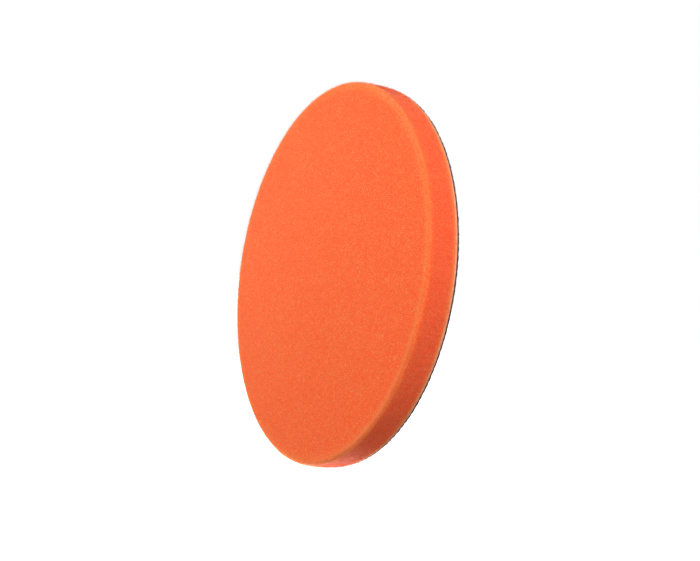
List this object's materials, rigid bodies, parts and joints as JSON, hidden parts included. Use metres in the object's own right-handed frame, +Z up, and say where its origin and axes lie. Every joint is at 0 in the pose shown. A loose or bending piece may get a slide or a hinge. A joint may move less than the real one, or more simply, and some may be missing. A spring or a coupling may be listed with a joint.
{
  "type": "polishing pad",
  "caption": "Thin round flat-faced foam polishing pad, straight-sided, laminated to a loop fabric backing that grips a hook-faced backing plate.",
  "frame": {"origin": "centre of the loop face, the flat back that grips the backing plate", "axes": "+Y along the pad's axis, from the working face to the loop face; the working face looks to -Y; +Z up, with the pad standing on edge; +X to the right when looking along +Y"},
  "size_m": [0.1508, 0.0125, 0.1508],
  "materials": {
    "foam": "matte",
    "adhesive": "satin",
    "loop_ground": "matte",
    "loop_pile": "matte"
  },
  "bodies": {
    "root": {"foam_disc": "foam", "adhesive_film": "adhesive", "loop_ground_fabric": "loop_ground", "loop_pile": "loop_pile"}
  },
  "joints": []
}
